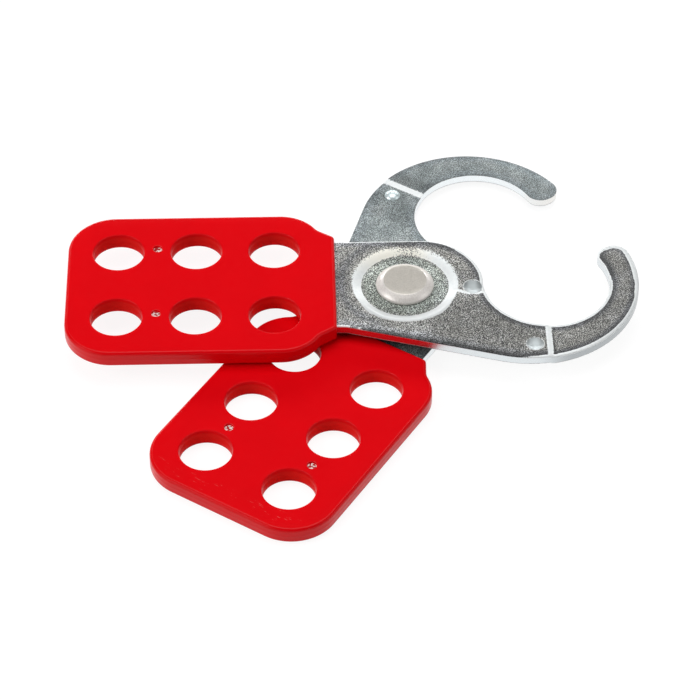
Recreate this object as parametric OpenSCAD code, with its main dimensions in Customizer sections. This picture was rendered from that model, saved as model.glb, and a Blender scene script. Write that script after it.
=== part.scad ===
// Scissor lockout hasp: two identical stamped steel arms, one turned over,
// riveted together at a dished pivot, with a vinyl grip moulded over each handle.
// The frame has its origin on the pivot axis at the underside, +X along the upper arm
// towards its jaw and +Z up. Sizes are in millimetres.

/* [Steel arm] */
// Thickness of the steel sheet
plate_t = 1.9; // [1.5:0.1:2.6]
// Width of the arm where it leaves the grip
neck_w = 24.3; // [23:0.1:26]
// Slope of the arm's back edge between the neck and the jaw
back_slope = 16; // [15:0.5:18]
// Depth that the pivot dish is pressed towards the other arm
dish_depth = 0.85; // [0.8:0.05:1.2]
// Diameter of the flat floor of the dish
dish_floor_d = 17.2; // [15:0.1:19]
// Width of the sloping ring round the dish floor
dish_ring_w = 1.8; // [1:0.1:2.2]

/* [Jaw] */
// Diameter of the closed jaw
jaw_d = 25; // [22:0.5:28]
// Distance from the pivot to the middle of the jaw
jaw_x = 27.85; // [26.5:0.05:30]
// Width of the hook at its root
hook_root_w = 9; // [7.5:0.1:11]
// Width of the hook halfway round
hook_side_w = 5.8; // [5:0.1:7]
// Distance of the hook's outer arc centre above the middle of the jaw
hook_rise = 0.75; // [0:0.05:1.5]
// Angle above the jaw's middle at which the hook's tip begins
hook_end = 27.7; // [5:0.1:60]
// Corner radius of the tip
tip_r = 3; // [2.8:0.1:4]
// Depth of the step that brings the jaw nearer the other arm
step_depth = 0.3; // [0.1:0.05:0.6]
// Distance from the pivot to the step
step_x = 26.8; // [26:0.1:27.5]
// Width of the step's slope
step_w = 1.1; // [0.6:0.1:1.5]

/* [Stop pips] */
// Distance from the pivot to the pip that stops the closing
close_pip_x = 13.2; // [12.8:0.1:13.4]
// Distance of the closing pip below the arm's centre line
close_pip_y = 1.3; // [1.3:0.05:1.8]
// Diameter of the closing pip on the inner face
close_pip_d = 2.5; // [2:0.05:2.5]
// Distance from the pivot to the pip that stops the opening
open_pip_x = 24.2; // [22:0.1:24.6]
// Distance of the opening pip below the arm's centre line
open_pip_y = 17.7; // [16.5:0.1:18]
// Diameter of the opening pip on the inner face
open_pip_d = 2.6; // [2:0.1:3]
// Height of the pips above the inner face
pip_h = 1.2; // [1.1:0.05:1.4]
// Width of the dimple that each pip leaves in the outer face
dimple_d = 3.4; // [2.8:0.1:4]
// Depth of that dimple
dimple_depth = 0.9; // [0.5:0.1:1.2]

/* [Grip] */
// Distance from the pivot to the end of the grip
grip_end = 66.5; // [64:0.5:75]
// Width of the grip
grip_w = 39.2; // [37:0.2:46]
// Corner radius at the free end
end_r = 9.3; // [7:0.1:11]
// Corner radius beside the neck
shoulder_r = 8.55; // [7.6:0.05:9.5]
// Distance from the pivot to the start of the shoulder
shoulder_x = 24.5; // [23.5:0.1:26]
// Distance from the pivot to the end of the collar round the neck
collar_x = 13.65; // [12.8:0.05:14.5]
// Width of the collar at its end
collar_w = 26.3; // [25.8:0.1:28]
// Slope of the collar's sides
collar_slope = 32; // [28:1:36]
// Cut at the collar's end corners
collar_cut = 0.7; // [0.3:0.1:0.8]
// Thickness of the vinyl on the faces, the edges and in the holes
coat = 0.75; // [0.5:0.05:0.75]
// Bevel along the vinyl's edges
edge_c = 0.6; // [0.2:0.1:0.7]
// Diameter of the marks where pins held the steel in the mould
mark_d = 1.9; // [1:0.1:3]

/* [Lock holes] */
// Diameter of a finished hole
hole_d = 10.4; // [8:0.1:11.5]
// Distance from the pivot to the first pair of holes
hole_x = 25.65; // [25:0.05:27]
// Spacing along the grip
hole_pitch = 15.4; // [14:0.1:16]
// Spacing across the grip
row_pitch = 18.55; // [16:0.05:20]
// Number of pairs along the grip
hole_pairs = 3; // [1:1:3]
// Bevel round each hole
rim_c = 0.1; // [0.1:0.05:0.5]

/* [Rivet] */
// Diameter of the shank
shank_d = 6.4; // [5:0.1:8]
// Diameter of both heads
head_d = 11.4; // [9.5:0.1:13]
// Diameter of the flat on each head
head_flat_d = 8.3; // [7:0.1:9]
// Height of the straight band round each head
head_band = 0.55; // [0.3:0.05:0.9]

/* [Clearances] */
// Gap between the two dishes
dish_gap = 0.1; // [0.05:0.05:0.3]
// Radial clearance of the shank in the upper arm
shank_play = 0.05; // [0.02:0.01:0.1]
// Gap under the upper rivet head
head_play = 0.05; // [0.02:0.01:0.1]

/* [Pose] */
// Angle between the two arms
open_angle = 56.5; // [0:0.5:98]

/* [Hidden] */
$fn = 96;

// Where a curve runs into another edge the two overlap by this much, so that they cross cleanly
lap = 0.04;
// Length added to every cut so that it passes the surface it opens
over = 1;

// Heights above the plane midway between the two arms
inner_z = dish_gap / 2 + dish_depth;
outer_z = inner_z + plate_t;
grip_z = inner_z - coat;
grip_t = plate_t + 2 * coat;
mid_z = outer_z + coat;
dish_slope = dish_ring_w / dish_depth;
// A pressed sheet keeps its thickness, so the boss is a little wider than the dish
boss_r = dish_floor_d / 2 + plate_t * tan(atan2(dish_depth, dish_ring_w) / 2);

// Outline of the arm
neck_h = neck_w / 2;
jaw_r = jaw_d / 2;
nose_r = neck_h + lap;
nose_x = jaw_x - jaw_r - neck_h;
hook_r = hook_rise + jaw_r + hook_root_w;
hook_x = jaw_x + jaw_r + hook_side_w - hook_r;
hook_c = [hook_x, hook_rise];
// The tip has two round corners: one touches the jaw from outside, the other the outer arc from inside
jaw_c = [jaw_x, 0];
jaw_gap = hook_c - jaw_c;
tip_dir = [cos(hook_end), sin(hook_end)];
tip_out = tip_r * [-tip_dir.y, tip_dir.x];
tip_mid = jaw_gap * tip_dir;
tip_reach = tip_mid + sqrt(tip_mid ^ 2 - jaw_gap * jaw_gap + (hook_r - tip_r) ^ 2);
tip_inner = jaw_c + (jaw_r + tip_r) * tip_dir;
tip_outer = jaw_c + tip_reach * tip_dir;
far = 2 * hook_r;
// The back edge leaves the hook's outer arc as a tangent and runs to the neck
back_n = [-sin(back_slope), -cos(back_slope)];
back_foot = hook_c + (hook_r - lap) * back_n;
back_x = hook_x + (hook_r - lap + back_n.y * (neck_h + hook_rise)) / back_n.x;

// Outline of the grip
grip_h = grip_w / 2;
end_x = grip_end - end_r;
shoulder_c = [-shoulder_x, grip_h - shoulder_r];
// The neck and the collar run on into the handle
neck_root = -(shoulder_x + end_x) / 2;
collar_n = [sin(collar_slope), cos(collar_slope)];
collar_tip = [-collar_x, collar_w / 2];
collar_foot = shoulder_c + ((collar_tip - shoulder_c) * collar_n) * collar_n;
collar_cut_a = collar_tip + collar_cut * [-cos(collar_slope), sin(collar_slope)];
collar_cut_b = collar_tip - [0, collar_cut];

// Both rivet heads end flush with the vinyl
head_h = dish_depth + coat;
hole_rows = [-row_pitch / 2, row_pitch / 2];

function flip(points) = [for (i = [len(points) - 1:-1:0]) [points[i].x, -points[i].y]];
function hole_column(i) = -(hole_x + i * hole_pitch);

// Slab of the steel inside the grip, without holes
module handle_slab(h) {
    inset = coat + lap;
    for (side = [-1, 1]) {
        translate([-end_x, side * (grip_h - end_r), 0]) cylinder(r = end_r - coat, h = h);
        translate([-shoulder_x, side * shoulder_c.y, 0]) cylinder(r = shoulder_r - coat, h = h);
    }
    translate([-end_x, inset - grip_h, 0]) cube([end_x - shoulder_x, grip_w - 2 * inset, h]);
    translate([inset - grip_end, end_r - grip_h, 0]) cube([end_r, grip_w - 2 * end_r, h]);
}

// Slab of the neck, the round nose beside the jaw and the body behind the jaw
module neck_slab(h) {
    linear_extrude(h)
        polygon([
            [neck_root, neck_h],
            [nose_x, neck_h],
            [nose_x, 0],
            jaw_c,
            back_foot,
            [back_x, -neck_h],
            [neck_root, -neck_h],
        ]);
    translate([nose_x, 0, 0]) cylinder(r = nose_r, h = h);
}

// Slab of the hook, from the body round to its tip
module hook_slab(h) {
    intersection() {
        translate(hook_c) cylinder(r = hook_r, h = h);
        linear_extrude(h)
            polygon([
                [nose_x, 0],
                jaw_c,
                jaw_c + far * tip_dir,
                [hook_x + far, -far],
                back_foot + far * back_n,
                back_foot,
            ]);
    }
    for (corner = [tip_inner, tip_outer]) {
        translate(corner) cylinder(r = tip_r + lap, h = h);
    }
    linear_extrude(h)
        polygon([tip_inner - tip_out, tip_outer - tip_out, tip_outer + tip_out, tip_inner + tip_out]);
}

// Cuts the holes for the padlocks through a slab
module lock_cuts(r, h) {
    for (i = [0:hole_pairs - 1], y = hole_rows) {
        translate([hole_column(i), y, -over]) cylinder(r = r, h = h + 2 * over);
    }
}

// Slab with the outline of one whole arm
module arm_slab(h) {
    difference() {
        union() {
            handle_slab(h);
            neck_slab(h);
            hook_slab(h);
        }
        translate([jaw_x, 0, -over]) cylinder(r = jaw_r, h = h + 2 * over);
        lock_cuts(hole_d / 2 + coat, h);
    }
}

// Side profile of the sheet with the step at the jaw, as wide as it needs to be
module stepped_sheet() {
    function step_line(z) = [[step_x, z], [step_x + step_w, z - step_depth], [far + hook_x, z - step_depth]];
    top = step_line(outer_z);
    bottom = step_line(inner_z);
    rotate([90, 0, 0])
        linear_extrude(2 * far, center = true)
            polygon(concat(
                [[-grip_end, outer_z]], top,
                [for (i = [2:-1:0]) bottom[i]], [[-grip_end, inner_z]]
            ));
}

module pip(x, y, d) {
    translate([x, -y, inner_z - pip_h]) cylinder(d = d, h = pip_h + plate_t / 2);
}

// A shallow round dimple, part of a sphere
module dimple(x, y) {
    ball_r = (dimple_d ^ 2 / 4 + dimple_depth ^ 2) / (2 * dimple_depth);
    translate([x, -y, outer_z + ball_r - dimple_depth]) sphere(ball_r);
}

// One arm in its own frame: pivot at the origin, jaw towards +X, outer face up
module arm(bore_d) {
    difference() {
        union() {
            intersection() {
                arm_slab(mid_z);
                stepped_sheet();
            }
            translate([0, 0, dish_gap / 2])
                cylinder(
                    r1 = boss_r,
                    r2 = boss_r + dish_slope * (dish_depth + plate_t / 4),
                    h = dish_depth + plate_t / 4
                );
            pip(close_pip_x, close_pip_y, close_pip_d);
            pip(open_pip_x, open_pip_y, open_pip_d);
        }
        translate([0, 0, outer_z - dish_depth])
            cylinder(
                r1 = dish_floor_d / 2,
                r2 = dish_floor_d / 2 + dish_slope * (dish_depth + over),
                h = dish_depth + over
            );
        dimple(close_pip_x, close_pip_y);
        dimple(open_pip_x, open_pip_y);
        cylinder(d = bore_d, h = mid_z);
    }
}

module bevelled_disc(r) {
    rotate_extrude()
        polygon([
            [0, 0],
            [r - edge_c, 0],
            [r, edge_c],
            [r, grip_t - edge_c],
            [r - edge_c, grip_t],
            [0, grip_t],
        ]);
}

// Bar along X between the two pairs of corners, bevelled on both sides
module bevelled_bar() {
    side = grip_h - lap;
    bevel = [[side, edge_c], [side, grip_t - edge_c], [side - edge_c, grip_t]];
    translate([-end_x, 0, 0])
        rotate([90, 0, 90])
            linear_extrude(end_x - shoulder_x)
                polygon(concat(
                    [[side - edge_c, 0]], bevel,
                    [for (i = [2:-1:0]) [-bevel[i].x, bevel[i].y]], [[edge_c - side, 0]]
                ));
}

// Block that closes the free end and runs on into the handle, bevelled along that end
module bevelled_end() {
    face = lap - grip_end;
    rotate([90, 0, 0])
        linear_extrude(grip_w - 2 * end_r, center = true)
            polygon([
                [face + edge_c, 0],
                [neck_root, 0],
                [neck_root, grip_t],
                [face + edge_c, grip_t],
                [face, grip_t - edge_c],
                [face, edge_c],
            ]);
}

// Cuts the bevel along one edge of the collar, from point a to point b
module edge_cut(a, b, z) {
    side = edge_c * sqrt(2);
    run = b - a;
    translate([a.x, a.y, z])
        rotate([0, 0, atan2(run.y, run.x)])
            rotate([45, 0, 0])
                translate([-over, -side / 2, -side / 2]) cube([norm(run) + 2 * over, side, side]);
}

// Collar that tapers from the shoulders to the neck
module collar() {
    half = [[neck_root, shoulder_c.y], collar_foot, collar_cut_a, collar_cut_b];
    difference() {
        linear_extrude(grip_t) polygon(concat(half, flip(half)));
        for (side = [half, flip(half)], z = [0, grip_t]) {
            edge_cut(side[1], side[2], z);
        }
    }
}

module lock_bore(x, y) {
    translate([x, y, 0]) {
        translate([0, 0, -over]) cylinder(d = hole_d, h = grip_t + 2 * over);
        for (turn = [0, 180]) {
            translate([0, 0, grip_t / 2])
                rotate([turn, 0, 0])
                    translate([0, 0, grip_t / 2 - rim_c])
                        cylinder(d1 = hole_d, d2 = hole_d + 2 * (rim_c + over), h = rim_c + over);
        }
    }
}

// Marks left by the mould's pins, midway between the last two pairs of holes
module mould_marks() {
    mark_x = hole_column(max(hole_pairs - 1.5, 0.5));
    for (y = hole_rows) {
        translate([mark_x, y, -over]) cylinder(d = mark_d, h = grip_t + 2 * over);
    }
}

// One grip in its arm's frame, moulded round the handle
module grip() {
    translate([0, 0, grip_z])
        difference() {
            union() {
                for (side = [-1, 1]) {
                    translate([-end_x, side * (grip_h - end_r), 0]) bevelled_disc(end_r);
                    translate([-shoulder_x, side * shoulder_c.y, 0]) bevelled_disc(shoulder_r);
                }
                bevelled_bar();
                bevelled_end();
                collar();
            }
            translate([0, 0, coat])
                difference() {
                    union() {
                        handle_slab(plate_t);
                        neck_slab(plate_t);
                    }
                    lock_cuts(hole_d / 2 + coat, plate_t);
                }
            for (i = [0:hole_pairs - 1], y = hole_rows) {
                lock_bore(hole_column(i), y);
            }
            mould_marks();
        }
}

// Puts a piece of the upper arm in its place
module upper() {
    translate([0, 0, mid_z]) children();
}

// Puts the same piece, turned over and swung open, in the lower arm's place
module lower() {
    translate([0, 0, mid_z]) rotate([0, 0, open_angle]) rotate([180, 0, 0]) children();
}

module lower_arm() {
    color([0.66, 0.68, 0.68]) lower() arm(shank_d);
}

module upper_arm() {
    color([0.64, 0.63, 0.61]) upper() arm(shank_d + 2 * shank_play);
}

module lower_grip() {
    color([0.86, 0.03, 0.06]) lower() grip();
}

module upper_grip() {
    color([0.86, 0.03, 0.06]) upper() grip();
}

// Rivet with a bevelled head at each end
module pivot_rivet() {
    tail_z = head_h;
    head_z = 2 * mid_z - head_h + head_play;
    color([0.78, 0.75, 0.72])
        rotate_extrude()
            polygon([
                [0, 0],
                [head_flat_d / 2, 0],
                [head_d / 2, tail_z - head_band],
                [head_d / 2, tail_z],
                [shank_d / 2, tail_z],
                [shank_d / 2, head_z],
                [head_d / 2, head_z],
                [head_d / 2, head_z + head_band],
                [head_flat_d / 2, 2 * mid_z],
                [0, 2 * mid_z],
            ]);
}

lower_arm();
lower_grip();
pivot_rivet();
upper_arm();
upper_grip();
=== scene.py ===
import math

import bpy
import numpy as np
from mathutils import Matrix, Vector
from mathutils.geometry import delaunay_2d_cdt

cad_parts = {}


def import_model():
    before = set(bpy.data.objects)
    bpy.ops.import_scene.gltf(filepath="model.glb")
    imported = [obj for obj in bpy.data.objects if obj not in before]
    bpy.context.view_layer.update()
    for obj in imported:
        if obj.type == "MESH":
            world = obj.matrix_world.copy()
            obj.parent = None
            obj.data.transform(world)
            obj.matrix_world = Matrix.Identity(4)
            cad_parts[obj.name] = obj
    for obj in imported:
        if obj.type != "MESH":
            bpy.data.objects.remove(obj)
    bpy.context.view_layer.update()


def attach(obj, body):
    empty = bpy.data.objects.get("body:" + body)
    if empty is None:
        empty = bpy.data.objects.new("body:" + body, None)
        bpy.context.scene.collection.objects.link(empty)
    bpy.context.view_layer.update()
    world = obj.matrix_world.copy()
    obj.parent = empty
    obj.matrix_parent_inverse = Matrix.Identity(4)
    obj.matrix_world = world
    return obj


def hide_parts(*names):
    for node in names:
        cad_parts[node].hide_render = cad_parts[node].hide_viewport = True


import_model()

# One millimetre in the scene's metres
MM = 0.001

# Sizes of the arms, in millimetres as all sizes of the part are
PLATE_T = 1.9
NECK_H = 12.15
BACK_SLOPE = math.radians(16)
DISH_DEPTH = 0.85
DISH_FLOOR_R = 8.6
DISH_RIM_R = 10.8
DISH_CURVE = 1.5
DISH_GAP = 0.1
BOSS_TOP_R = 9.0
BOSS_BASE_R = 10.8
JAW_R = 12.5
JAW_X = 27.85
HOOK_ROOT_W = 9.0
HOOK_SIDE_W = 5.8
HOOK_RISE = 0.75
HOOK_END = math.radians(27.7)
TIP_R = 3.0
STEP_DEPTH = 0.3
STEP_X = 26.8
STEP_W = 1.1
OPEN_ANGLE = math.radians(56.5)
LAP = 0.04

# The closing pip and the opening pip, with the dimples behind them
PIPS = [(13.3, -1.45), (24.45, -17.8)]
PIP_R = 1.5
PIP_H = 0.6
PIP_CURVE = 0.7
DIMPLE_RADII = [1.95, 1.78]
DIMPLE_DEPTH = 0.45
DIMPLE_CURVE = 1.1

# The crease that the press leaves beside the closing dimple
CREASE = [(9.6, -2.0), (10.5, -2.45), (11.7, -3.1), (13.0, -3.42), (14.3, -3.3), (15.7, -2.7)]
CREASE_W = 0.38
CREASE_DEPTH = 0.08

# Sizes of the grips
GRIP_END = 66.5
GRIP_H = 19.6
END_R = 9.3
SHOULDER_R = 8.55
SHOULDER_X = 24.5
COLLAR_X = 13.65
COLLAR_H = 13.15
COLLAR_SLOPE = math.radians(32)
COLLAR_END_R = 1.0
COLLAR_FILLET_R = 4.0
COAT = 0.75
HOLE_R = 4.94
HOLE_X = -25.65
HOLE_PITCH = 15.4
HOLE_ROWS = [-9.275, 9.275]
HOLES = [(HOLE_X - i * HOLE_PITCH, y) for i in range(3) for y in HOLE_ROWS]
MARK_R = 0.9
OUTER_MARKS = [(-48.75, y + 0.875) for y in HOLE_ROWS]
INNER_MARKS = [(-49.1, y + 0.325) for y in HOLE_ROWS]

# Sizes of the rivet, with its shoulder as (inwards, below the face) and its foot as (inwards, off the seat)
SHANK_R = 3.2
BORE_PLAY = 0.05
HEAD_R = 5.7
HEAD_FLAT_R = 4.2
HEAD_PLAY = 0.05
SHOULDER = [(0, 1.3), (0.02, 1.12), (0.07, 0.99), (0.14, 0.9), (0.62, 0.5), (0.7, 0.44), (0.78, 0.39),
            (1.4, 0.03), (1.44, 0.013), (1.48, 0.003)]
FOOT = [(0.12, 0), (0.02, 0.06)]
FACE_RINGS = [3.0, 1.5]

# Edges as they are pressed and moulded
ROLL_W = 0.7
ROLL_DEPTH = 0.3
EDGE_W = 0.38
EDGE_DEPTH = 0.18
BURR_W = 0.08
BURR_DEPTH = 0.05
VINYL_EDGE_R = 0.65
RIM_R = 0.3
RIM_DEPTH = 1.1
SEAM_PROUD = 0.008
MARK_RIM_R = 0.15
MARK_TAPER = 0.04
MARK_DEPTH = 0.4

# Gloss of the vinyl as a share of the shader's full specular level
FACE_GLOSS = 0.025
EDGE_GLOSS = 0.2
RIM_GLOSS = 0.12
MARK_GLOSS = 0.3
SIDE_GLOSS = 0.25
HOLE_GLOSS = 0.003

# Soft spots on the arm's outer face, as (centre, radius): lighter and darker patches, painted glints on the
# dish floor, a break in the crease and painted shade in the closing dimple
HOOK_ROOT_PATCH = ((31.5, -14.5), 3.2)
NOSE_PATCH = ((12.2, 2), 2)
DISH_GLINTS = [((-5.2, 5.2), 2.2), ((6, 4), 2.2)]
CREASE_BREAK = ((13.2, -3.4), 1.2)
CLOSING_DIMPLE_SHADE = (PIPS[0], 2.5)

# Spacing of the meshes' points
PLATE_HOLE_STEP = 0.8
PIVOT_STEP = 0.4
PIP_STEP = 0.2
CREASE_STEP = 0.22
PRESS_STEP = 0.35
ARM_STEP = 1.0
HOLE_STEP = 0.3
MARK_STEP = 0.12
GRIP_STEP = 1.5
ARM_BOX = [(-16, -22.5), (47, 13.5)]
CREASE_BOX = [(9.0, -4.4), (16.2, -1.4)]
GRIP_BOX = [(-66, -19), (-14, 19)]
ARM_SHARP = math.radians(40)
GRIP_SHARP = math.radians(50)
RIVET_SHARP = math.radians(35)
RIVET_SIDES = 128

# Walls between the faces, as (share of the way down, distance outwards)
ARM_RINGS = [(0.1, 0), (0.5, 0), (0.9, 0)]
GRIP_RINGS = [(0.06, 0), (0.46, 0), (0.485, SEAM_PROUD), (0.515, SEAM_PROUD), (0.54, 0), (0.94, 0)]

# Heights above the plane midway between the arms
INNER_Z = DISH_GAP / 2 + DISH_DEPTH
OUTER_Z = INNER_Z + PLATE_T
GRIP_Z = INNER_Z - COAT
GRIP_T = PLATE_T + 2 * COAT
MID_Z = OUTER_Z + COAT

# Centres worked out from the sizes
NOSE_X = JAW_X - JAW_R - NECK_H
HOOK_R = HOOK_RISE + JAW_R + HOOK_ROOT_W
HOOK_X = JAW_X + JAW_R + HOOK_SIDE_W - HOOK_R
HOOK_C = np.array([HOOK_X, HOOK_RISE])
JAW_C = np.array([JAW_X, 0.0])

# Places of the two arms, the lower one turned over
UPPER = Matrix.Translation((0, 0, MID_Z * MM))
LOWER = UPPER @ Matrix.Rotation(OPEN_ANGLE, 4, "Z") @ Matrix.Rotation(math.pi, 4, "X")


# Outlines
def tip_corners():
    """Centres of the tip's two round corners, and the turn at which the outer one meets the hook."""
    across = np.array([math.cos(HOOK_END), math.sin(HOOK_END)])
    gap = HOOK_C - JAW_C
    middle = gap @ across
    reach = middle + math.sqrt(middle ** 2 - gap @ gap + (HOOK_R - TIP_R) ** 2)
    outer = JAW_C + reach * across
    turn = math.atan2(*(outer - HOOK_C)[::-1])
    return JAW_C + (JAW_R + TIP_R) * across, outer, turn


TIP_INNER, TIP_OUTER, TIP_TURN = tip_corners()


def arc(centre, radius, start, end, step):
    """Points along an arc, in radians, without its last point."""
    count = max(3, int(abs(end - start) * radius / step))
    t = np.linspace(start, end, count, endpoint=False)
    return np.column_stack([centre[0] + radius * np.cos(t), centre[1] + radius * np.sin(t)])


def line(a, b, step):
    """Points along a line, without its last point."""
    a, b = np.array(a, float), np.array(b, float)
    count = max(1, int(np.hypot(*(b - a)) / step))
    return a + np.linspace(0, 1, count, endpoint=False)[:, None] * (b - a)


def circle(centre, radius, step):
    return arc(centre, radius, 0, 2 * math.pi, step)


def arm_outline(d, step=0.5):
    """Outline of the whole arm, moved inwards by d."""
    half = NECK_H - d
    nose_r = half + LAP
    jaw_r = JAW_R + d
    reach = JAW_X - NOSE_X
    along = (reach ** 2 + nose_r ** 2 - jaw_r ** 2) / (2 * reach)
    crotch_y = math.sqrt(nose_r ** 2 - along ** 2)
    nose = (NOSE_X, 0)
    nose_start = math.pi - math.asin(half / nose_r)
    jaw_start = math.pi - math.asin(crotch_y / jaw_r)
    tip_r = TIP_R - d
    ahead = tip_r * np.array([-math.sin(HOOK_END), math.cos(HOOK_END)])
    hook_r = HOOK_R - d
    back_turn = -math.pi / 2 - BACK_SLOPE
    back_foot = HOOK_C + hook_r * np.array([math.cos(back_turn), math.sin(back_turn)])
    back_x = back_foot[0] - (-half - back_foot[1]) / math.tan(BACK_SLOPE)
    corner_y = GRIP_H - SHOULDER_R
    shoulder_r = SHOULDER_R - COAT - d
    neck_turn = math.asin((half - corner_y) / shoulder_r)
    neck_x = -SHOULDER_X + shoulder_r * math.cos(neck_turn)
    end_r = END_R - COAT - d
    end_x = END_R - GRIP_END
    end_y = GRIP_H - END_R
    side = GRIP_H - COAT - d
    face = COAT + d - GRIP_END
    quarter = math.pi / 2
    return np.vstack([
        line((neck_x, half), (NOSE_X + nose_r * math.cos(nose_start), half), step),
        arc(nose, nose_r, nose_start, math.atan2(crotch_y, along), step),
        arc(JAW_C, jaw_r, jaw_start, 4 * quarter + HOOK_END, step),
        arc(TIP_INNER, tip_r, 2 * quarter + HOOK_END, quarter + HOOK_END, step / 2),
        line(TIP_INNER + ahead, TIP_OUTER + ahead, step),
        arc(TIP_OUTER, tip_r, quarter + HOOK_END, TIP_TURN, step / 2),
        arc(HOOK_C, hook_r, TIP_TURN, back_turn, step),
        line(back_foot, (back_x, -half), step),
        line((back_x, -half), (neck_x, -half), step),
        arc((-SHOULDER_X, -corner_y), shoulder_r, -neck_turn, -quarter, step),
        line((-SHOULDER_X, -side), (end_x, -side), 2 * step),
        arc((end_x, -end_y), end_r, -quarter, -2 * quarter, step),
        line((face, -end_y), (face, end_y), 2 * step),
        arc((end_x, end_y), end_r, 2 * quarter, quarter, step),
        line((end_x, side), (-SHOULDER_X, side), 2 * step),
        arc((-SHOULDER_X, corner_y), shoulder_r, quarter, neck_turn, step),
    ])


def grip_half(d, step):
    """Upper half of the grip's outline moved inwards by d, from the collar's end round to the free end."""
    n = np.array([math.sin(COLLAR_SLOPE), math.cos(COLLAR_SLOPE)])
    t = np.array([math.cos(COLLAR_SLOPE), -math.sin(COLLAR_SLOPE)])
    tip = np.array([-COLLAR_X, COLLAR_H])
    # Round corner between the collar's end and its side
    end_r = COLLAR_END_R - d
    end_cx = -COLLAR_X - COLLAR_END_R
    lift = (n @ tip - COLLAR_END_R - n[0] * end_cx) / n[1]
    end_c = np.array([end_cx, lift])
    side_turn = math.atan2(n[1], n[0])
    # Hollow corner between the collar's side and the shoulder
    shoulder = np.array([-SHOULDER_X, GRIP_H - SHOULDER_R])
    out = n @ tip + COLLAR_FILLET_R
    base = n * (out - n @ shoulder)
    reach = math.sqrt((SHOULDER_R + COLLAR_FILLET_R) ** 2 - base @ base)
    fillet_c = shoulder + base + t * reach
    fillet_r = COLLAR_FILLET_R + d
    to_shoulder = shoulder - fillet_c
    fillet_end = math.atan2(to_shoulder[1], to_shoulder[0])
    quarter = math.pi / 2
    end_x = END_R - GRIP_END
    end_y = GRIP_H - END_R
    return np.vstack([
        line((-COLLAR_X - d, 0), (-COLLAR_X - d, end_c[1]), step),
        arc(end_c, end_r, 0, side_turn, step / 4),
        line(end_c + end_r * n, fillet_c - fillet_r * n, step),
        arc(fillet_c, fillet_r, side_turn - math.pi, fillet_end, step / 2),
        arc(shoulder, SHOULDER_R - d, fillet_end + math.pi, quarter, step),
        line((-SHOULDER_X, GRIP_H - d), (end_x, GRIP_H - d), 2 * step),
        arc((end_x, end_y), END_R - d, quarter, 2 * quarter, step),
        line((d - GRIP_END, end_y), (d - GRIP_END, 0), 2 * step),
    ])


def grip_outline(d, step=0.5):
    """Closed outline of the grip moved inwards by d."""
    top = grip_half(d, step)
    low = top[1:][::-1] * [1, -1]
    return np.vstack([top, [[d - GRIP_END, 0]], low])


# Meshes
def distance(points, loop):
    """Distance of each point to a closed loop of straight pieces."""
    a = loop
    b = np.roll(loop, -1, axis=0)
    run = b - a
    size = (run ** 2).sum(1)
    best = np.zeros(len(points))
    batch = 2000
    for i in range(0, len(points), batch):
        p = points[i:i + batch, None, :]
        t = np.clip(((p - a) * run).sum(2) / size, 0, 1)
        best[i:i + batch] = np.sqrt(((a + t[..., None] * run - p) ** 2).sum(2)).min(1)
    return best


def inside(points, loop):
    """True for each point inside a closed loop."""
    a = loop
    b = np.roll(loop, -1, axis=0)
    x, y = points[:, :1], points[:, 1:]
    crosses = (a[:, 1] > y) != (b[:, 1] > y)
    rise_y = np.where(b[:, 1] == a[:, 1], 1e-12, b[:, 1] - a[:, 1])
    at = a[:, 0] + (y - a[:, 1]) / rise_y * (b[:, 0] - a[:, 0])
    return (crosses & (x < at)).sum(1) % 2 == 1


def away(points, centre):
    """Distance of each point from a centre."""
    return np.hypot(points[:, 0] - centre[0], points[:, 1] - centre[1])


def grid(box, step):
    """Points of a grid over a box, every second row shifted by half a step."""
    low, high = box
    x = np.arange(low[0], high[0], step)
    y = np.arange(low[1], high[1], step)
    shift = np.where(np.arange(len(y)) % 2, step / 2, 0)
    return np.column_stack([(x[None, :] + shift[:, None]).ravel(), np.repeat(y, len(x))])


def triangulate(border, holes, guides, extra):
    """Triangles between a border and its holes, with edges along every guide loop."""
    points, edges = [], []
    for loop in [border, *holes, *guides]:
        first = len(points)
        points.extend(loop.tolist())
        count = len(loop)
        edges.extend((first + i, first + (i + 1) % count) for i in range(count))
    points.extend(extra.tolist())
    triangles_inside = 1
    merge = 1e-5
    made = delaunay_2d_cdt([Vector(p) for p in points], edges, [], triangles_inside, merge)
    flat = np.array([v[:] for v in made[0]])
    faces = np.array(made[2])
    middle = flat[faces].mean(1)
    keep = inside(middle, border)
    for hole in holes:
        keep &= ~inside(middle, hole)
    faces = faces[keep]
    used = np.unique(faces)
    renumber = np.full(len(flat), -1)
    renumber[used] = np.arange(len(used))
    flat, faces = flat[used], renumber[faces]
    a, b, c = (flat[faces[:, i]] for i in range(3))
    turn = (b[:, 0] - a[:, 0]) * (c[:, 1] - a[:, 1]) - (b[:, 1] - a[:, 1]) * (c[:, 0] - a[:, 0])
    faces[turn < 0] = faces[turn < 0][:, ::-1]
    return flat, faces


def border_edges(faces):
    """Edges with one face, in that face's direction."""
    seen = {}
    for f in faces:
        for i in range(3):
            seen[(int(f[i]), int(f[(i + 1) % 3]))] = True
    return [e for e in seen if (e[1], e[0]) not in seen]


def outward(flat, edges):
    """Direction out of the sheet at each of its border's points."""
    out = np.zeros((len(flat), 2))
    for a, b in edges:
        run = flat[b] - flat[a]
        normal = np.array([run[1], -run[0]]) / max(np.hypot(*run), 1e-9)
        out[a] += normal
        out[b] += normal
    return out / np.maximum(np.hypot(out[:, 0], out[:, 1]), 1e-9)[:, None]


def link(name, mesh, sharp):
    """Smooth object from a mesh, with its sharp edges kept."""
    mesh.shade_smooth()
    mesh.set_sharp_from_angle(angle=sharp)
    mesh.validate()
    piece = bpy.data.objects.new(name, mesh)
    bpy.context.scene.collection.objects.link(piece)
    return piece


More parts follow.
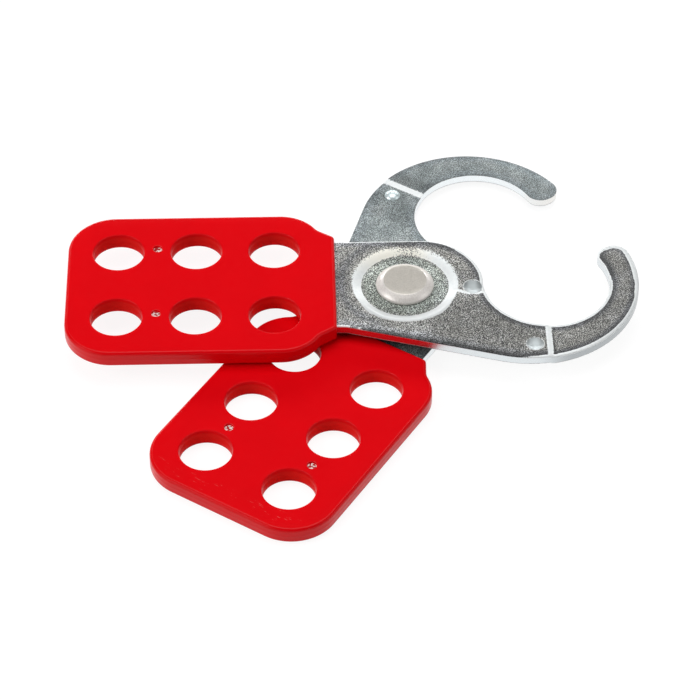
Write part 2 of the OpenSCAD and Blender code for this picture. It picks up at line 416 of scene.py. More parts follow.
def sheet_mesh(name, flat, faces, top, bottom, rings, place, attributes, sharp):
    """Closed mesh from a triangulated outline, its two heights and its wall's rings.
    Each attribute has its values on the upper face, on the lower face and on the wall."""
    count = len(flat)
    points = [np.column_stack([flat, top]), np.column_stack([flat, bottom])]
    polygons = [tuple(f) for f in faces.tolist()]
    polygons += [tuple(count + i for i in reversed(f)) for f in faces.tolist()]
    edges = border_edges(faces)
    out = outward(flat, edges)
    rim = np.array(sorted({i for e in edges for i in e}))
    order = {int(v): i for i, v in enumerate(rim)}
    base = 2 * count
    levels = [{int(v): int(v) for v in rim}]
    for share, proud in rings:
        ring_xy = flat[rim] + proud * out[rim]
        ring_z = top[rim] * (1 - share) + bottom[rim] * share
        points.append(np.column_stack([ring_xy, ring_z]))
        levels.append({v: base + i for v, i in order.items()})
        base += len(rim)
    levels.append({int(v): count + int(v) for v in rim})
    for upper, lower in zip(levels, levels[1:]):
        polygons += [(upper[b], upper[a], lower[a], lower[b]) for a, b in edges]
    points = np.vstack(points)
    mesh = bpy.data.meshes.new(name)
    world = place @ Matrix.Scale(MM, 4)
    mesh.from_pydata([world @ Vector(p) for p in points.tolist()], [], polygons)
    local = mesh.attributes.new("local", "FLOAT_VECTOR", "POINT")
    local.data.foreach_set("vector", points.astype(np.float32).ravel())
    for key, (over, under, wall) in attributes.items():
        layer = mesh.attributes.new(key, "FLOAT", "POINT")
        values = np.concatenate([over, under, *[wall[rim]] * len(rings)])
        layer.data.foreach_set("value", values.astype(np.float32))
    return link(name, mesh, sharp)


# Soft shapes, each between 0 and 1
def ease(t):
    t = np.clip(t, 0, 1)
    return t * t * (3 - 2 * t)


def rise(v, start, width):
    """From 0 at the start to 1 a width further on."""
    return ease((v - start) / width)


def fall(v, end, width):
    """From 1 a width before the end to 0 at the end."""
    return ease((end - v) / width)


def bell(v, middle, width):
    """1 at the middle, fading on both sides."""
    return np.exp(-((v - middle) / width) ** 2)


def spot(points, centre, radius):
    """1 at the centre of a soft round spot."""
    return bell(away(points, centre), 0, radius)


def round_drop(d, width, depth):
    """Drop of a rounded edge at distance d from it."""
    t = 1 - np.clip(d / width, 0, 1)
    return depth * (1 - np.sqrt(np.maximum(0, 1 - t * t)))


def round_steps(width, count):
    """Distances from the edge at which a rounded edge is sampled."""
    return [width * (1 - math.cos(math.pi / 2 * i / count)) for i in range(1, count + 1)]


# Arms
def arm_sheet(bore_r):
    """Triangles of the arm's outline, finer where it is pressed."""
    holes = [circle(hole, HOLE_R + COAT, PLATE_HOLE_STEP) for hole in HOLES]
    holes.append(circle((0, 0), bore_r, PIVOT_STEP))
    guides = [arm_outline(d) for d in [BURR_W, *round_steps(ROLL_W, 6), 0.95, 1.2, 1.5, 2.0]]
    dish_radii = [*np.linspace(DISH_FLOOR_R, DISH_RIM_R, 9)]
    dish_radii += [DISH_FLOOR_R - 0.08, BOSS_TOP_R - 0.2, DISH_RIM_R + 0.4]
    guides += [circle((0, 0), r, PIVOT_STEP) for r in dish_radii]
    for pip, dimple_r in zip(PIPS, DIMPLE_RADII):
        radii = [*np.linspace(0.3, dimple_r, 8), PIP_R, PIP_R + 0.06]
        radii += [dimple_r - 0.1, dimple_r + 0.12, dimple_r + 0.3]
        guides += [circle(pip, r, PIP_STEP) for r in radii]
    step_y = np.arange(-HOOK_R, -JAW_R + 2, PRESS_STEP)
    step_x = STEP_X + np.linspace(-0.3, 1.5, 13) * STEP_W
    steps = [np.column_stack([np.full(len(step_y), x), step_y]) for x in step_x]
    extra = np.vstack([grid(ARM_BOX, ARM_STEP), *steps, grid(CREASE_BOX, CREASE_STEP)])
    extra = extra[inside(extra, arm_outline(0.05))]
    return triangulate(arm_outline(0), holes, guides, extra)


def off_jaw(flat, edge):
    """How much further each point is from the jaw's edge than from the arm's nearest edge."""
    return away(flat, JAW_C) - JAW_R - edge


def hook_share(flat, edge):
    """1 round the outside of the hook, where the blank's edge is rolled over."""
    return rise(flat[:, 0], 24, 8) * rise(off_jaw(flat, edge), 0, 2)


def crease_share(flat):
    """1 along the crease beside the closing dimple."""
    there_and_back = np.array(CREASE + CREASE[-2:0:-1])
    return bell(distance(flat, there_and_back), 0, CREASE_W)


def arm_heights(flat, edge):
    """Heights of the pressed arm's outer and inner faces."""
    x, y = flat.T
    radius = np.hypot(x, y)
    t = (radius - DISH_FLOOR_R) / (DISH_RIM_R - DISH_FLOOR_R)
    dish = np.clip(1 - np.maximum(t, 0), 0, 1) ** DISH_CURVE
    boss = np.clip((BOSS_BASE_R - radius) / (BOSS_BASE_R - BOSS_TOP_R), 0, 1)
    step = STEP_DEPTH * rise(x, STEP_X, STEP_W)
    top = OUTER_Z - DISH_DEPTH * dish - step
    bottom = INNER_Z - DISH_DEPTH * boss - step
    for pip, dimple_r in zip(PIPS, DIMPLE_RADII):
        r = away(flat, pip)
        top -= DIMPLE_DEPTH * np.clip(1 - (r / dimple_r) ** 2, 0, 1) ** DIMPLE_CURVE
        bottom -= PIP_H * np.clip(1 - (r / PIP_R) ** 2, 0, 1) ** PIP_CURVE
    top -= CREASE_DEPTH * crease_share(flat)
    hook = hook_share(flat, edge)
    top -= (1 - hook) * round_drop(edge, EDGE_W, EDGE_DEPTH) + hook * round_drop(edge, ROLL_W, ROLL_DEPTH)
    bottom += BURR_DEPTH * np.clip(1 - edge / BURR_W, 0, 1)
    return top, bottom


def plating(flat, edge, tip_warmth):
    """Wear, tint, painted highlights and painted shade of the arm's plating, each on the outer face, on the
    inner face and on the walls.
    """
    x, y = flat.T
    radius = np.hypot(x, y)
    ones = np.ones(len(flat))
    none = np.zeros(len(flat))

    # Places on the arm
    hook = hook_share(flat, edge)
    far_tip = hook * rise(y, -6, 8)
    jaw_edge = fall(np.abs(off_jaw(flat, edge)), 0.4, 0.2) * fall(y, 2, 3)
    nose_edge = rise(x, 9, 2) * rise(y, -6, 2) * fall(x, 17, 1)
    throat = np.maximum(jaw_edge, nose_edge)
    near_neck = fall(y, -8, 2) * fall(x, 25, 5) * (1 - jaw_edge)
    dish_floor = fall(radius, DISH_FLOOR_R, 0.2)
    dish_back_shade = fall(x, -3, 4) * bell(radius, 12.8, 0.8)
    body = np.maximum(rise(x, 1, 5) * fall(y, -4, 2), rise(x, 13, 8))
    step_end = STEP_X + STEP_W
    past_step = rise(x, step_end, 0.3)

    # Pale on the dish's slope, the crease, the step and the edges: partly rubbed plating, partly painted
    # highlight
    fade = 0.5 + 1.3 * rise(y, -8, 13)
    slope_r = DISH_RIM_R - 0.25 + 0.65 * fall(y, -5, 4) + 0.45 * fade
    rubbed_and_highlit = rise(radius, DISH_FLOOR_R - 0.05, 0.1) * fall(radius, slope_r, fade)
    rubbed_and_highlit *= 1 - 0.45 * bell(x, 1, 3.5) * rise(y, 5, 3)
    crease = rise(crease_share(flat), 0.2, 0.5) * (1 - 0.6 * spot(flat, *CREASE_BREAK))
    step_band = rise(x, STEP_X - 0.3, 0.4) * fall(x, step_end + 0.08, 0.1)
    edge_w = (1 - near_neck) * (EDGE_W + (ROLL_W - EDGE_W) * hook) + 0.25 * throat + 0.35 * far_tip
    edge_line = fall(edge, edge_w, 0.1) * (1 - near_neck)
    neck_spots = fall(x, -10.9, 0.3) + bell(x, -9.3, 0.4)
    neck_spots *= 0.8 * near_neck * fall(edge, 0.5, 0.2)
    rubbed_and_highlit = np.max([rubbed_and_highlit, crease, step_band, edge_line, neck_spots], axis=0)

    # Dimples, with painted shade on their sides and painted highlights on their rims, and the shiny pips
    # under them
    hollow, dimple_shade, pip_shine = none, none, none
    for pip, dimple_r in zip(PIPS, DIMPLE_RADII):
        r = away(flat, pip)
        bowl = fall(r, dimple_r - 0.05, 0.12)
        sides = 0.4 * rise(x, pip[0] + 0.3, 1.2) + 0.3 * fall(x, pip[0] - 0.7, 0.8)
        hollow = np.maximum(hollow, bowl)
        dimple_shade = dimple_shade + bowl * (sides + 0.2 * rise(y, pip[1], 1.3))
        rubbed_and_highlit = np.maximum(rubbed_and_highlit, 0.7 * bell(r, dimple_r, 0.09))
        pip_shine = np.maximum(pip_shine, fall(r, PIP_R + 0.1, 0.1))
    # Painted shade deeper in the closing dimple
    dimple_shade = dimple_shade + 0.18 * spot(flat, *CLOSING_DIMPLE_SHADE)

    # Outer face: painted shade along its edges, with lighter and darker patches and painted glints on the
    # dish floor
    neck_lift = near_neck * rise(edge, 0.9, 0.3) * fall(edge, 2.4, 0.8)
    tone_and_shade = 1 - 0.62 * fall(edge, 2.1, 1.3) * (1 - 0.5 * near_neck) * rise(x, -7, 6)
    tone_and_shade *= 1 - 0.6 * near_neck * fall(edge, 0.85, 0.3) * rise(x, -9.5, 3)
    tone_and_shade *= 1 + 0.3 * neck_lift
    tone_and_shade *= 1 + 0.12 * fall(x, -5, 4) + 0.1 * dish_floor - 0.32 * body
    tone_and_shade *= 1 + 0.1 * rise(x, 28, 2) + 0.3 * spot(flat, *HOOK_ROOT_PATCH)
    tone_and_shade *= 1 - 0.35 * spot(flat, *NOSE_PATCH) - 0.45 * fall(x, -10, 1.5) * bell(y, 1, 4.5)
    tone_and_shade *= 1 + 0.5 * dish_floor * sum(spot(flat, *patch) for patch in DISH_GLINTS)
    # Painted shadow of the dish's far wall on its floor
    tone_and_shade *= 1 - 0.25 * dish_floor * rise(y, 2, 5) * bell(x, 0, 3.5)
    # Painted shadow just past the step
    tone_and_shade *= 1 - 0.75 * bell(x, step_end + 0.22, 0.15)
    tone_and_shade = tone_and_shade * (1 - hollow) + (1 - dimple_shade) * hollow
    # Painted shade on the dish's back slope, tinted cool like the painted shade along the edges
    tone_and_shade *= 1 - 0.35 * dish_back_shade
    cool = np.max([fall(edge, 2.1, 1.2), dish_back_shade, 0.8 * neck_lift], axis=0)

    # Inner face: darker past the step, with painted shade towards the grip, where the arms overlap
    inner_tone_and_shade = 1 - 0.15 * fall(edge, 0.9, 0.8)
    inner_tone_and_shade *= 1 - 0.16 * past_step
    inner_tone_and_shade *= 1 - 0.36 * past_step * fall(x, 32, 2) * fall(y, -10, 2)
    inner_tone_and_shade *= 1 - 0.4 * fall(x, -8, 4) - 0.2 * rise(x, 16, 3) * fall(x, STEP_X, 0.3)
    inner_tone_and_shade *= 1 + 0.25 * rise(x, 43, 2)

    # Painted shade on the pale parts' near side, throat and hook, their warmth and ragged borders, and the
    # tone of the walls
    lit = 1 - 0.32 * fall(y, -2, 5) * fall(radius, 13, 1)
    lit -= 0.2 * throat * fall(edge, 1, 1)
    lit -= (0.14 * hook * rise(x, 34, 4) + 0.11 * far_tip) * fall(edge, 1.3, 1)
    fray = 1 + fall(radius, 13.5, 1) * (0.7 * rise(y, -6, 12) - 0.6)
    fray *= 1 - 0.6 * hook
    dish_warmth = rise(y, 2, 7) * fall(radius, 12, 0.5) * fall(x, 7, 5)
    tip = tip_warmth * fall(away(flat, TIP_OUTER), 4, 1)
    wall_tone = 1 - 0.42 * hook * fall(tip, 0.1, 0.1)
    return {
        "rubbed_and_highlit": (rubbed_and_highlit, step_band, ones),
        "tone_and_shade": (tone_and_shade, inner_tone_and_shade, wall_tone),
        "cool": (cool, 0.3 * cool, ones),
        "lit": (lit, ones, ones),
        "green": (dish_floor, none, none),
        "warm": (dish_warmth, none, tip),
        "hollow": (hollow, none, none),
        "shine": (none, pip_shine, none),
        "fray": (fray, ones, ones),
        "wall": (none, none, ones),
    }


def arm(name, place, bore_r, tip_warmth):
    """One pressed arm: dished pivot, stepped jaw, stop pips and rolled outer edges."""
    flat, faces = arm_sheet(bore_r)
    edge = distance(flat, arm_outline(0))
    top, bottom = arm_heights(flat, edge)
    attributes = plating(flat, edge, tip_warmth)
    return sheet_mesh(name, flat, faces, top, bottom, ARM_RINGS, place, attributes, ARM_SHARP)


# Grips
def grip_sheet():
    """Triangles of the grip's outline, finer at its edges, holes and marks."""
    holes = [circle(hole, HOLE_R, HOLE_STEP) for hole in HOLES]
    guides = [grip_outline(SEAM_PROUD + d) for d in round_steps(VINYL_EDGE_R, 7)]
    for hole in HOLES:
        guides += [circle(hole, HOLE_R + d, HOLE_STEP) for d in round_steps(RIM_R, 8)]
        guides.append(circle(hole, HOLE_R + 0.8, 0.5))
    floor_r = MARK_R - MARK_TAPER
    radii = [0.3, 0.6, floor_r - 0.03, floor_r, floor_r + 0.004, MARK_R, MARK_R + 0.25]
    radii += [MARK_R + d for d in round_steps(MARK_RIM_R, 4)]
    for mark in OUTER_MARKS + INNER_MARKS:
        guides += [circle(mark, r, MARK_STEP) for r in radii]
    extra = grid(GRIP_BOX, GRIP_STEP)
    extra = extra[inside(extra, grip_outline(1.2))]
    return triangulate(grip_outline(SEAM_PROUD), holes, guides, extra)


def mould_marks(flat, marks):
    """Shallow pits left by the mould's pins: their depth, the gloss of their rims and their bare floors."""
    depth, gloss, bare = np.zeros((3, len(flat)))
    for mark in marks:
        r = away(flat, mark)
        rim = round_drop(r - MARK_R, MARK_RIM_R, MARK_RIM_R)
        depth += rim + (MARK_DEPTH - MARK_RIM_R) * np.clip((MARK_R - r) / MARK_TAPER, 0, 1)
        gloss += MARK_GLOSS * rise(rim, 0, 0.01) * fall(rim, 0.1, 0.03)
        bare += r < MARK_R - MARK_TAPER + 0.002
    return depth, gloss, bare


def grip(name, place, scuffed):
    """One vinyl grip with rounded edges, a parting line, rimmed holes and the marks of the mould's pins."""
    flat, faces = grip_sheet()
    edge = distance(flat, grip_outline(SEAM_PROUD))
    drop = round_drop(edge, VINYL_EDGE_R, VINYL_EDGE_R)
    for hole in HOLES:
        drop = np.maximum(drop, round_drop(away(flat, hole) - HOLE_R, RIM_R, RIM_DEPTH))
    by_edge = edge < VINYL_EDGE_R
    steep = rise(drop, 0, 0.4)
    edge_sheen = EDGE_GLOSS * (rise(drop, 0, 0.01) * fall(drop, 0.045, 0.02) + steep)
    rim_sheen = RIM_GLOSS * rise(drop, 0, 0.02) * fall(drop, 0.35, 0.1) - 0.01 * steep
    gloss = FACE_GLOSS + np.where(by_edge, edge_sheen, rim_sheen)
    # Painted sheen: a paler, less saturated red down the holes' rims and on their walls
    hole_sheen = np.where(by_edge, 0.0, rise(drop, 0.1, 0.9))
    outer_depth, outer_gloss, outer_bare = mould_marks(flat, OUTER_MARKS)
    inner_depth, inner_gloss, inner_bare = mould_marks(flat, INNER_MARKS)
    top = GRIP_Z + GRIP_T - drop - outer_depth
    bottom = GRIP_Z + drop + inner_depth
    outside = edge < 0.01
    none = np.zeros(len(flat))
    attributes = {
        "gloss": (gloss + outer_gloss, gloss + inner_gloss, np.where(outside, SIDE_GLOSS, HOLE_GLOSS)),
        "bare": (outer_bare, inner_bare, none),
        "hole_sheen": (hole_sheen, hole_sheen, np.where(outside, 0.0, 1.0)),
        "scuff": (none, none + scuffed, none),
    }
    return sheet_mesh(name, flat, faces, top, bottom, GRIP_RINGS, place, attributes, GRIP_SHARP)


# Rivet
def lathe(name, profile, sides, sharp):
    """Closed solid turned about the pivot axis from (radius, height) points, axis to axis."""
    mesh = bpy.data.meshes.new(name)
    points, polygons = [], []
    inner = profile[1:-1]
    for r, z in inner:
        for k in range(sides):
            a = 2 * math.pi * k / sides
            points.append((r * MM * math.cos(a), r * MM * math.sin(a), z * MM))
    low, high = len(points), len(points) + 1
    points += [(0, 0, profile[0][1] * MM), (0, 0, profile[-1][1] * MM)]
    last = (len(inner) - 1) * sides
    for k in range(sides):
        n = (k + 1) % sides
        polygons.append((low, n, k))
        for i in range(len(inner) - 1):
            a, b = i * sides, (i + 1) * sides
            polygons.append((a + k, a + n, b + n, b + k))
        polygons.append((last + k, last + n, high))
    mesh.from_pydata(points, [], polygons)
    return link(name, mesh, sharp)


def rivet_head(seat, face, up):
    """Profile of one head from its seat to its flat face, with up as 1 or -1."""
    foot = [(HEAD_R - r, seat + up * z) for r, z in FOOT]
    shoulder = [(HEAD_R - r, face - up * z) for r, z in SHOULDER]
    return [*foot, *shoulder, (HEAD_FLAT_R, face), *[(r, face) for r in FACE_RINGS], (0, face)]


def rivet(name):
    """Rivet with two flat faced heads, each with a shoulder that slopes gently and then rounds over."""
    height = 2 * MID_Z
    low_seat = DISH_DEPTH + COAT
    high_seat = height - low_seat + HEAD_PLAY
    profile = rivet_head(low_seat, 0, -1)[::-1]
    profile += [(SHANK_R, low_seat), (SHANK_R, high_seat)]
    profile += rivet_head(high_seat, height, 1)
    return lathe(name, profile, RIVET_SIDES, RIVET_SHARP)


# Shader nodes
def new_material(name):
    material = bpy.data.materials.new(name)
    material.use_nodes = True
    tree = material.node_tree
    return material, tree, tree.nodes["Principled BSDF"]


def node(tree, kind, inputs=None, **settings):
    made = tree.nodes.new(kind)
    for key, value in settings.items():
        setattr(made, key, value)
    for key, value in (inputs or {}).items():
        socket = made.inputs[key]
        if isinstance(value, bpy.types.NodeSocket):
            tree.links.new(value, socket)
        else:
            socket.default_value = value
    return made


def attribute(tree, name, output="Fac"):
    return node(tree, "ShaderNodeAttribute", attribute_name=name).outputs[output]


def local_place(tree):
    """Place on the piece in its own frame, in metres."""
    inputs = {0: attribute(tree, "local", "Vector"), "Scale": MM}
    return node(tree, "ShaderNodeVectorMath", inputs, operation="SCALE").outputs[0]


def noise(tree, place, size_mm, detail=2.0, rough=0.5):
    """Noise whose grains are about size_mm across."""
    inputs = {"Vector": place, "Scale": 1 / (size_mm * MM), "Detail": detail, "Roughness": rough}
    return node(tree, "ShaderNodeTexNoise", inputs).outputs["Fac"]


def ramp(tree, fac, stops):
    made = node(tree, "ShaderNodeValToRGB", {"Fac": fac})
    elements = made.color_ramp.elements
    while len(elements) < len(stops):
        elements.new(0.5)
    for element, (at, colour) in zip(elements, stops):
        element.position = at
        element.color = (*colour, 1) if isinstance(colour, tuple) else (*grey(colour), 1)
    return made.outputs["Color"]


def mix(tree, fac, a, b, mode="MIX"):
    made = node(tree, "ShaderNodeMix", data_type="RGBA", blend_type=mode)
    for socket, value in ((made.inputs[0], fac), (made.inputs[6], a), (made.inputs[7], b)):
        if isinstance(value, bpy.types.NodeSocket):
            tree.links.new(value, socket)
        elif socket.type == "RGBA":
            socket.default_value = (*value, 1)
        else:
            socket.default_value = value
    return made.outputs[2]


def times(tree, a, b):
    return mix(tree, 1.0, a, b, "MULTIPLY")


def tint(tree, fac, colour, by):
    """Colour multiplied by another one where fac is 1."""
    return mix(tree, fac, colour, times(tree, colour, by))


def grey(value):
    return (value, value, value)


def maths(tree, operation, *values):
    return node(tree, "ShaderNodeMath", dict(enumerate(values)), operation=operation).outputs[0]


def bump(tree, shader, height, strength, depth_mm):
    inputs = {"Height": height, "Strength": strength, "Distance": depth_mm * MM}
    made = node(tree, "ShaderNodeBump", inputs)
    tree.links.new(made.outputs["Normal"], shader.inputs["Normal"])


# Colours of the plating, and of its speckles as (place in the noise, colour)
COOL_TINT = (0.93, 0.96, 1.06)
GREEN_TINT = (0.94, 1.03, 0.99)
# Pale zinc for the rubbed parts and the painted highlights
PALE_ZINC = [(0.3, (0.86, 0.90, 0.91)), (0.7, (0.94, 0.97, 0.97))]
CREAM_ZINC = (0.95, 0.93, 0.84)
WARM_CUT = (0.80, 0.77, 0.73)
DIMPLE_COLOUR = (0.56, 0.61, 0.62)
PIP_COLOUR = (0.75, 0.86, 0.88)
MOTTLE = [(0.3, 0.78), (0.6, 1.04)]
UPPER_SPECKS = [(0.37, 0.0), (0.46, 0.19), (0.54, 0.43), (0.625, 1.38)]
UPPER_CLOUDS = [(0.3, (0.46, 0.46, 0.43)), (0.5, (0.625, 0.625, 0.59)), (0.7, (0.80, 0.81, 0.80))]
UPPER_CUT = (0.72, 0.76, 0.78)
LOWER_SPECKS = [(0.35, 0.05), (0.45, 0.32), (0.54, 0.50), (0.65, 1.05)]
LOWER_CLOUDS = [(0.3, (0.40, 0.47, 0.475)), (0.5, (0.62, 0.71, 0.715)), (0.7, (0.79, 0.87, 0.87))]
LOWER_CUT = (0.86, 0.90, 0.92)
ZINC_ROUGH = {"face": 0.46, "worn_and_highlit": 0.40, "wall": 0.25, "dimple": 0.45, "pip": 0.36}
ZINC_METAL = {"face": 0.35, "worn_and_highlit": 0.1, "wall": 1.0, "dimple": 0.4, "pip": 0.6}

# Colours of the vinyl and of the rivet
RED_SKIN = [(0.3, (0.74, 0.0006, 0.0040)), (0.7, (0.78, 0.0007, 0.0044))]
# Red of the hole walls, with a painted sheen
RED_HOLE_SHEEN = (0.80, 0.018, 0.015)
# Floors of the marks: dark red vinyl and near white painted glints
MARK_FLOOR_GLINTS = [(0.47, (0.50, 0.03, 0.03)), (0.54, (1.0, 0.88, 0.83))]
MARK_METAL = 0.35
SCUFF_COLOUR = (0.86, 0.30, 0.28)
SCUFF_START = -65.4
SCUFF_END = -61.4
RIVET_FACE = [(0.3, (0.60, 0.57, 0.51)), (0.7, (0.70, 0.66, 0.60))]
RIVET_SHOULDER = [(0.3, (0.74, 0.69, 0.65)), (0.6, (0.87, 0.83, 0.79))]


# Materials
def zinc(name, specks, clouds, wall_colour):
    """Zinc plated sheet: speckled faces, pale where the press has rubbed it and where highlights are
    painted, bright on its cut walls.
    """
    material, tree, shader = new_material(name)
    place = local_place(tree)
    tone_and_shade = attribute(tree, "tone_and_shade", "Color")
    wall = attribute(tree, "wall")
    warm = attribute(tree, "warm")
    hollow = attribute(tree, "hollow")
    shine = attribute(tree, "shine")
    # Speckled face
    grain = ramp(tree, noise(tree, place, 0.19, 2.0, 0.6), specks)
    cloud = ramp(tree, noise(tree, place, 5.0, 4, 0.6), clouds)
    mottle = ramp(tree, noise(tree, place, 1.1, 3, 0.6), MOTTLE)
    face = times(tree, times(tree, times(tree, grain, cloud), mottle), tone_and_shade)
    face = tint(tree, attribute(tree, "cool"), face, COOL_TINT)
    face = tint(tree, attribute(tree, "green"), face, GREEN_TINT)
    # Pale parts with ragged borders: rubbed plating and painted highlights
    ragged = maths(tree, "MULTIPLY_ADD", noise(tree, place, 0.3, 2, 0.6), 1.6, -0.8)
    ragged = maths(tree, "MULTIPLY", ragged, attribute(tree, "fray"))
    worn_and_highlit = ramp(tree, maths(tree, "ADD", attribute(tree, "rubbed_and_highlit"), ragged), [(0.36, 0.0), (0.64, 1.0)])
    bright = ramp(tree, noise(tree, place, 0.6, 3), PALE_ZINC)
    bright = times(tree, bright, attribute(tree, "lit", "Color"))
    colour = mix(tree, worn_and_highlit, face, mix(tree, warm, bright, CREAM_ZINC))
    # Cut walls, dimples and pips
    cut = times(tree, mix(tree, warm, wall_colour, WARM_CUT), tone_and_shade)
    colour = mix(tree, wall, colour, cut)
    colour = mix(tree, hollow, colour, times(tree, DIMPLE_COLOUR, tone_and_shade))
    colour = mix(tree, shine, colour, PIP_COLOUR)
    tree.links.new(colour, shader.inputs["Base Color"])
    zones = {"worn_and_highlit": worn_and_highlit, "wall": wall, "dimple": hollow, "pip": shine}
    for socket, levels in (("Roughness", ZINC_ROUGH), ("Metallic", ZINC_METAL)):
        level = grey(levels["face"])
        for zone, share in zones.items():
            level = mix(tree, share, level, grey(levels[zone]))
        tree.links.new(level, shader.inputs[socket])
    bump(tree, shader, noise(tree, place, 0.3, 2), 0.2, 0.03)
    return material


def vinyl(name):
    """Red moulded vinyl: a matt skin, glossier along its edges, with a painted sheen in its holes, painted
    glints in its marks and scuffs near the end of one grip.
    """
    material, tree, shader = new_material(name)
    place = local_place(tree)
    colour = ramp(tree, noise(tree, place, 9.0, 3), RED_SKIN)
    # Painted sheen in the holes: a paler, less saturated red
    colour = mix(tree, attribute(tree, "hole_sheen"), colour, RED_HOLE_SHEEN)
    # Floors of the mould's marks, bare metal that vinyl partly covers, flecked with near white painted
    # glints
    bare = attribute(tree, "bare")
    colour = mix(tree, bare, colour, ramp(tree, noise(tree, place, 0.5, 2), MARK_FLOOR_GLINTS))
    tree.links.new(maths(tree, "MULTIPLY", bare, MARK_METAL), shader.inputs["Metallic"])
    # Fine scratches along the free end
    x = node(tree, "ShaderNodeSeparateXYZ", {0: place}).outputs["X"]
    along = node(tree, "ShaderNodeMapRange", {0: x, 1: SCUFF_START * MM, 2: SCUFF_END * MM}).outputs[0]
    band = ramp(tree, along, [(0.0, 0.0), (0.25, 1.0), (0.6, 1.0), (1.0, 0.0)])
    stretch = {0: place, 1: (3.0, 0.35, 1.0)}
    stretched = node(tree, "ShaderNodeVectorMath", stretch, operation="MULTIPLY").outputs[0]
    scratch = ramp(tree, noise(tree, stretched, 0.7, 4, 0.65), [(0.635, 0.0), (0.70, 0.42)])
    scuff = maths(tree, "MULTIPLY", maths(tree, "MULTIPLY", band, scratch), attribute(tree, "scuff"))
    tree.links.new(mix(tree, scuff, colour, SCUFF_COLOUR), shader.inputs["Base Color"])
    rough = ramp(tree, noise(tree, place, 1.2, 4), [(0.3, 0.28), (0.7, 0.34)])
    tree.links.new(rough, shader.inputs["Roughness"])
    tree.links.new(attribute(tree, "gloss"), shader.inputs["Specular IOR Level"])
    bump(tree, shader, noise(tree, place, 2.0, 2), 0.05, 0.05)
    return material


def rivet_steel(name):
    """Plain rivet steel with a fine satin grain, paler and duller on the heads' sloping shoulders."""
    material, tree, shader = new_material(name)
    place = node(tree, "ShaderNodeTexCoord").outputs["Object"]
    across = node(tree, "ShaderNodeVectorMath", {0: place, 1: (1, 1, 0)}, operation="MULTIPLY").outputs[0]
    radius = node(tree, "ShaderNodeVectorMath", {0: across}, operation="LENGTH").outputs["Value"]
    flat_end = {0: radius, 1: HEAD_FLAT_R * MM, 2: (HEAD_FLAT_R + 0.08) * MM}
    slope = node(tree, "ShaderNodeMapRange", flat_end).outputs[0]
    grain = noise(tree, place, 0.3, 3)
    face = ramp(tree, grain, RIVET_FACE)
    shoulder = ramp(tree, grain, RIVET_SHOULDER)
    tree.links.new(mix(tree, slope, face, shoulder), shader.inputs["Base Color"])
    rough = ramp(tree, noise(tree, place, 0.8, 3), [(0.3, 0.28), (0.7, 0.36)])
    tree.links.new(mix(tree, slope, rough, grey(0.36)), shader.inputs["Roughness"])
    tree.links.new(mix(tree, slope, grey(0.6), grey(0.2)), shader.inputs["Metallic"])
    bump(tree, shader, noise(tree, place, 0.25, 2), 0.1, 0.03)
    return material


# The part
def dress(piece, material, body, cad_node):
    piece.data.materials.append(material)
    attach(piece, body)
    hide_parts(cad_node)


red = vinyl("red_vinyl")
upper_zinc = zinc("zinc_upper", UPPER_SPECKS, UPPER_CLOUDS, UPPER_CUT)
lower_zinc = zinc("zinc_lower", LOWER_SPECKS, LOWER_CLOUDS, LOWER_CUT)
steel = rivet_steel("rivet_steel")
upper_arm = arm("upper_arm_plate", UPPER, bore_r=SHANK_R + BORE_PLAY, tip_warmth=0.0)
lower_arm = arm("lower_arm_plate", LOWER, bore_r=SHANK_R, tip_warmth=0.7)
upper_grip = grip("upper_grip_cover", UPPER, scuffed=0.0)
lower_grip = grip("lower_grip_cover", LOWER, scuffed=1.0)
dress(upper_arm, upper_zinc, "upper", "upper_arm")
dress(lower_arm, lower_zinc, "lower", "lower_arm")
dress(upper_grip, red, "upper", "upper_grip")
dress(lower_grip, red, "lower", "lower_grip")
dress(rivet("rivet_body"), steel, "lower", "pivot_rivet")


# Stage, light and camera, in metres
FLOOR_HALF = 3.0
FLOOR_Z = -0.00005
FLOOR_GREY = 0.88
FLOOR_GLOW = 1.12
GLOW_SHARE = 0.8
SKY = [(0.0, 0.6), (0.25, 0.6), (0.42, 0.06), (0.86, 0.06), (0.95, 0.4)]
SKY_STRENGTH = 0.8
CAMERA_PLACE = Vector((-22.808, -433.510, 410.812)) * MM
CAMERA_LENS = 155.07
CAMERA_AZIMUTH = math.radians(-1.59)
CAMERA_ELEVATION = math.radians(44.27)
CAMERA_ROLL = math.radians(0.17)


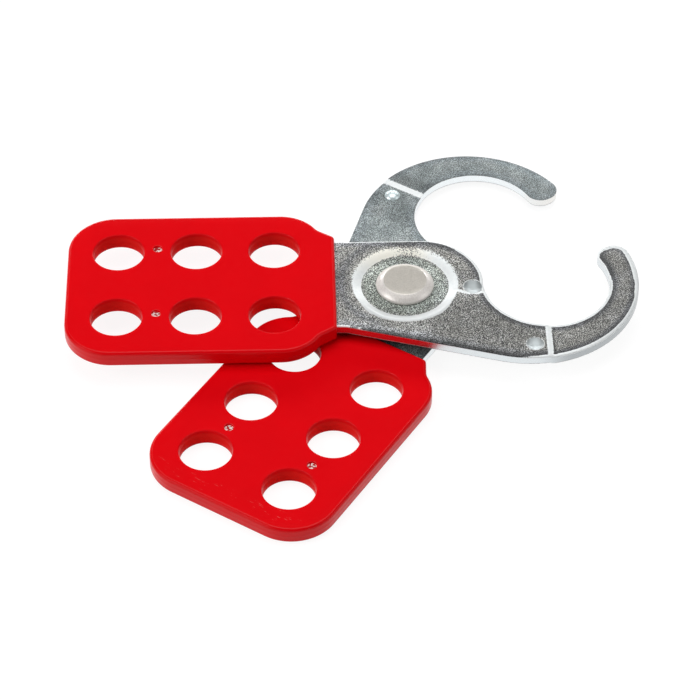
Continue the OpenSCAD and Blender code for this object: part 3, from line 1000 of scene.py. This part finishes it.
def floor():
    """Matt floor that looks white and keeps part of the shadow."""
    mesh = bpy.data.meshes.new("floor")
    corners = [(-1, -1), (1, -1), (1, 1), (-1, 1)]
    mesh.from_pydata([(x * FLOOR_HALF, y * FLOOR_HALF, FLOOR_Z) for x, y in corners], [], [(0, 1, 2, 3)])
    piece = bpy.data.objects.new("floor", mesh)
    bpy.context.scene.collection.objects.link(piece)
    material, tree, shader = new_material("floor_white")
    tree.nodes.remove(shader)
    seen = node(tree, "ShaderNodeLightPath")
    direct = maths(tree, "MAXIMUM", seen.outputs["Is Camera Ray"], seen.outputs["Is Glossy Ray"])
    direct = maths(tree, "MAXIMUM", direct, seen.outputs["Is Transmission Ray"])
    direct = maths(tree, "MULTIPLY", direct, GLOW_SHARE)
    glow = node(tree, "ShaderNodeEmission", {"Color": (1, 1, 1, 1), "Strength": FLOOR_GLOW})
    matt = node(tree, "ShaderNodeBsdfDiffuse", {"Color": (*grey(FLOOR_GREY), 1)})
    both = node(tree, "ShaderNodeMixShader", {0: direct, 1: matt.outputs[0], 2: glow.outputs[0]})
    tree.links.new(both.outputs[0], tree.nodes["Material Output"].inputs["Surface"])
    mesh.materials.append(material)


def lamp(name, place, size, power):
    """Soft rectangular light that faces the pivot's foot."""
    data = bpy.data.lights.new(name, "AREA")
    data.shape = "RECTANGLE"
    data.size, data.size_y = size
    data.energy = power
    made = bpy.data.objects.new(name, data)
    made.location = place
    made.rotation_euler = (-Vector(place)).to_track_quat("-Z", "Y").to_euler()
    bpy.context.scene.collection.objects.link(made)


def world():
    """Dim studio surroundings, brighter near the floor and overhead."""
    made = bpy.data.worlds.new("studio")
    bpy.context.scene.world = made
    made.use_nodes = True
    tree = made.node_tree
    out = tree.nodes["Background"]
    direction = node(tree, "ShaderNodeTexCoord").outputs["Generated"]
    height = node(tree, "ShaderNodeSeparateXYZ", {0: direction}).outputs["Z"]
    tree.links.new(ramp(tree, height, SKY), out.inputs["Color"])
    out.inputs["Strength"].default_value = SKY_STRENGTH


def camera():
    data = bpy.data.cameras.new("camera")
    data.sensor_width = 36
    data.lens = CAMERA_LENS
    data.clip_start = 0.01
    made = bpy.data.objects.new("camera", data)
    level = math.cos(CAMERA_ELEVATION)
    back = Vector((math.sin(CAMERA_AZIMUTH) * level, -math.cos(CAMERA_AZIMUTH) * level,
                   math.sin(CAMERA_ELEVATION)))
    right = Vector((0, 0, 1)).cross(back).normalized()
    up = back.cross(right)
    c, s = math.cos(CAMERA_ROLL), math.sin(CAMERA_ROLL)
    x, y = c * right + s * up, c * up - s * right
    turn = Matrix((x, y, back)).transposed().to_4x4()
    made.matrix_world = Matrix.Translation(CAMERA_PLACE) @ turn
    bpy.context.scene.collection.objects.link(made)
    bpy.context.scene.camera = made


floor()
lamp("top_light", (0, 0.22, 0.67), (0.6, 0.4), 2.2)
lamp("left_light", (-0.66, -0.22, 0.5), (0.5, 0.4), 3.0)
lamp("right_light", (0.66, -0.1, 0.5), (0.5, 0.4), 1.2)
lamp("back_light", (0, 1.2, 0.4), (1.6, 0.2), 8.5)
world()
camera()
bpy.context.scene.view_settings.view_transform = "Standard"
